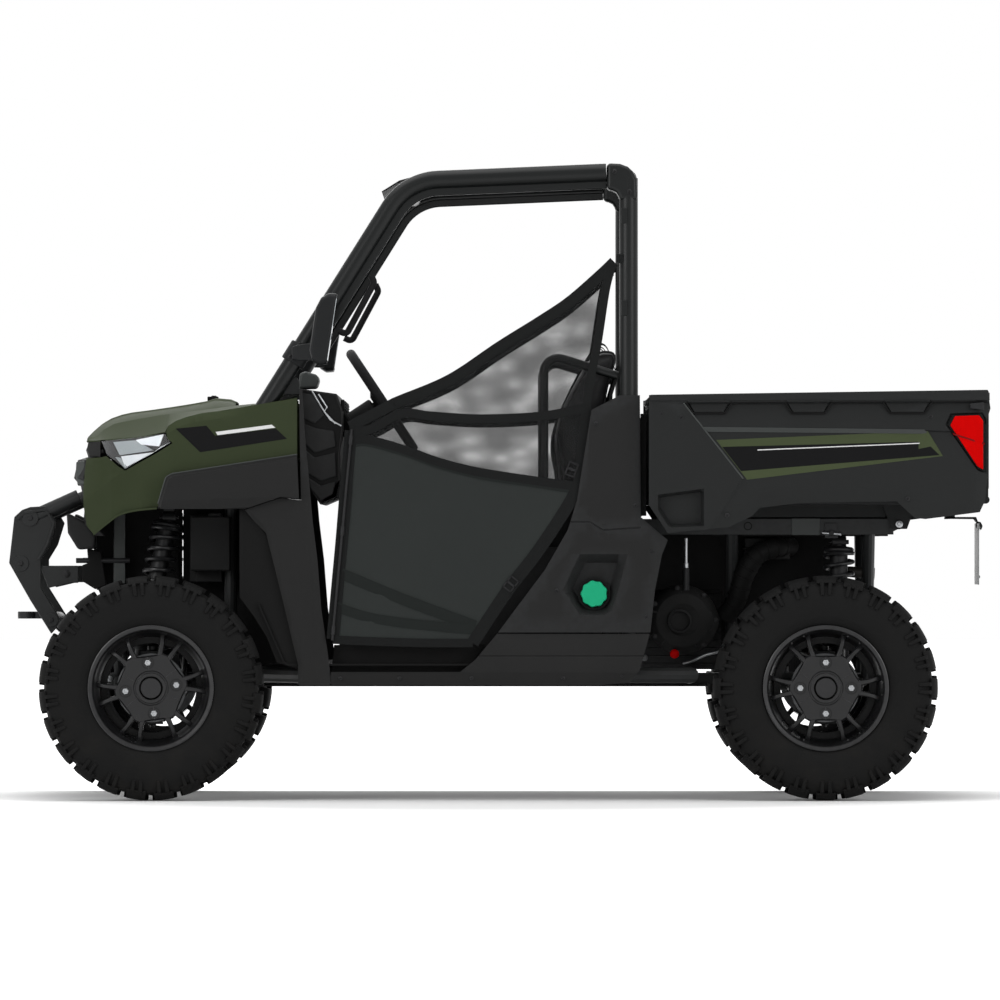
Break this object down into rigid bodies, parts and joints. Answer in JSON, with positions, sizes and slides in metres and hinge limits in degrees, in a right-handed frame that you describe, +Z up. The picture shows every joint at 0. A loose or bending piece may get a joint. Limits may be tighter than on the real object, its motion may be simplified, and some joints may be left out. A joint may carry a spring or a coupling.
{
  "type": "side by side utility vehicle",
  "caption": "Open-cab side by side utility vehicle with tube cage, net doors, bench seating, knobbly tyres and a tipping cargo bed.",
  "frame": {"origin": "on the ground under the middle of the vehicle's overall length and width", "axes": "+X forward, +Y to the vehicle's left, +Z up"},
  "size_m": [3.012, 1.732, 1.9513],
  "materials": {
    "body_green": "satin moulded-in olive",
    "body_black": "fine grain",
    "bed_black": "fine grain",
    "frame_black": "semi-gloss powder coat",
    "cage_black": "semi-gloss powder coat",
    "rim_black": "satin",
    "tyre": "tread rubber",
    "net": "woven webbing and mesh",
    "seat": "vinyl",
    "lens_clear": "clear",
    "lens_red": "clear red",
    "cap_green": "satin",
    "mirror": "fine grain",
    "engine_metal": "as cast",
    "driveline_metal": "as cast",
    "steel_dark": "satin",
    "exhaust_steel": "heat-dulled",
    "shock": "gloss",
    "grip": "soft grain"
  },
  "bodies": {
    "chassis": {"frame": "frame_black", "front_tower": "frame_black", "bed_frame": "frame_black", "skid_plate": "body_black", "hitch_receiver": "frame_black", "front_bumper": "frame_black", "front_fascia": "body_black", "front_fenders": "body_green", "fender_flares": "body_black", "cowl_sides": "body_black", "headlights": "lens_clear", "radiator": "steel_dark", "dashboard": "body_black", "cabin_floor": "body_black", "rocker_panels": "body_black", "quarter_panels": "body_black", "fuel_cap": "cap_green", "seat_box": "body_black", "seat_cushions": "seat", "seat_backs": "seat", "cage_front": "cage_black", "cage_rear": "cage_black", "hip_bars": "cage_black", "grab_handles": "grip", "side_mirrors": "mirror", "steering_column": "steel_dark", "suspension_arms": "steel_dark", "shocks": "shock", "rear_hubs": "steel_dark", "driveline": "driveline_metal", "engine": "engine_metal", "clutch_cover": "body_black", "exhaust": "exhaust_steel"},
    "hood": {"hood": "body_green"},
    "steering_wheel": {"steering_wheel": "grip"},
    "steering_rack": {"steering_rack": "steel_dark"},
    "front_knuckle_left": {"front_knuckle_left": "steel_dark"},
    "front_knuckle_right": {"front_knuckle_right": "steel_dark"},
    "wheel_front_left": {"tyre_front_left": "tyre", "rim_front_left": "rim_black"},
    "wheel_front_right": {"tyre_front_right": "tyre", "rim_front_right": "rim_black"},
    "wheel_rear_left": {"tyre_rear_left": "tyre", "rim_rear_left": "rim_black"},
    "wheel_rear_right": {"tyre_rear_right": "tyre", "rim_rear_right": "rim_black"},
    "cargo_bed": {"bed_floor": "bed_black", "bed_sides": "bed_black", "bed_front_wall": "bed_black", "tail_lights": "lens_red", "plate_bracket": "steel_dark"},
    "tailgate": {"tailgate": "bed_black"},
    "side_net_left": {"side_net_left": "net"},
    "side_net_right": {"side_net_right": "net"}
  },
  "joints": [
    {"name": "front_left_steer", "type": "hinge", "parent": "chassis", "child": "front_knuckle_left", "pos_m": [1.057, 0.6, 0.3425], "axis": [0, 0, 1], "range_deg": [-28, 28]},
    {"name": "front_right_steer", "type": "hinge", "parent": "chassis", "child": "front_knuckle_right", "pos_m": [1.057, -0.6, 0.3425], "axis": [0, 0, 1], "range_deg": [-28, 28]},
    {"name": "rack_slide", "type": "slide", "parent": "chassis", "child": "steering_rack", "axis": [0, 1, 0], "range_m": [-0.0445, 0.0445]},
    {"name": "steering_wheel_turn", "type": "hinge", "parent": "chassis", "child": "steering_wheel", "pos_m": [0.356, 0.4, 1.222], "axis": [-0.8329, 0, 0.5534], "range_deg": [-420, 420]},
    {"name": "front_left_spin", "type": "hinge", "parent": "front_knuckle_left", "child": "wheel_front_left", "pos_m": [1.057, 0.6755, 0.3425], "axis": [0, 1, 0], "continuous": true},
    {"name": "front_right_spin", "type": "hinge", "parent": "front_knuckle_right", "child": "wheel_front_right", "pos_m": [1.057, -0.6755, 0.3425], "axis": [0, 1, 0], "continuous": true},
    {"name": "rear_left_spin", "type": "hinge", "parent": "chassis", "child": "wheel_rear_left", "pos_m": [-1, 0.6505, 0.3425], "axis": [0, 1, 0], "continuous": true},
    {"name": "rear_right_spin", "type": "hinge", "parent": "chassis", "child": "wheel_rear_right", "pos_m": [-1, -0.6505, 0.3425], "axis": [0, 1, 0], "continuous": true},
    {"name": "hood_lift", "type": "hinge", "parent": "chassis", "child": "hood", "pos_m": [1.262, 0, 1.104], "axis": [0, 1, 0], "range_deg": [0, 50]},
    {"name": "bed_tip", "type": "hinge", "parent": "chassis", "child": "cargo_bed", "pos_m": [-1.232, 0, 0.843], "axis": [0, -1, 0], "range_deg": [0, 40]},
    {"name": "tailgate_drop", "type": "hinge", "parent": "cargo_bed", "child": "tailgate", "pos_m": [-1.49, 0, 0.917], "axis": [0, -1, 0], "range_deg": [0, 90]},
    {"name": "side_net_left_swing", "type": "hinge", "parent": "chassis", "child": "side_net_left", "pos_m": [0.505, 0.7145, 0.487], "axis": [0.091, 0.0492, -0.9946], "range_deg": [0, 80]},
    {"name": "side_net_right_swing", "type": "hinge", "parent": "chassis", "child": "side_net_right", "pos_m": [0.505, -0.7145, 0.487], "axis": [-0.091, 0.0492, 0.9946], "range_deg": [0, 80]}
  ],
  "couplings": [
    {"joint": "front_right_steer", "follows": "front_left_steer", "ratio": 1},
    {"joint": "rack_slide", "follows": "front_left_steer", "m_per_rad": -0.09},
    {"joint": "steering_wheel_turn", "follows": "front_left_steer", "ratio": 15}
  ]
}
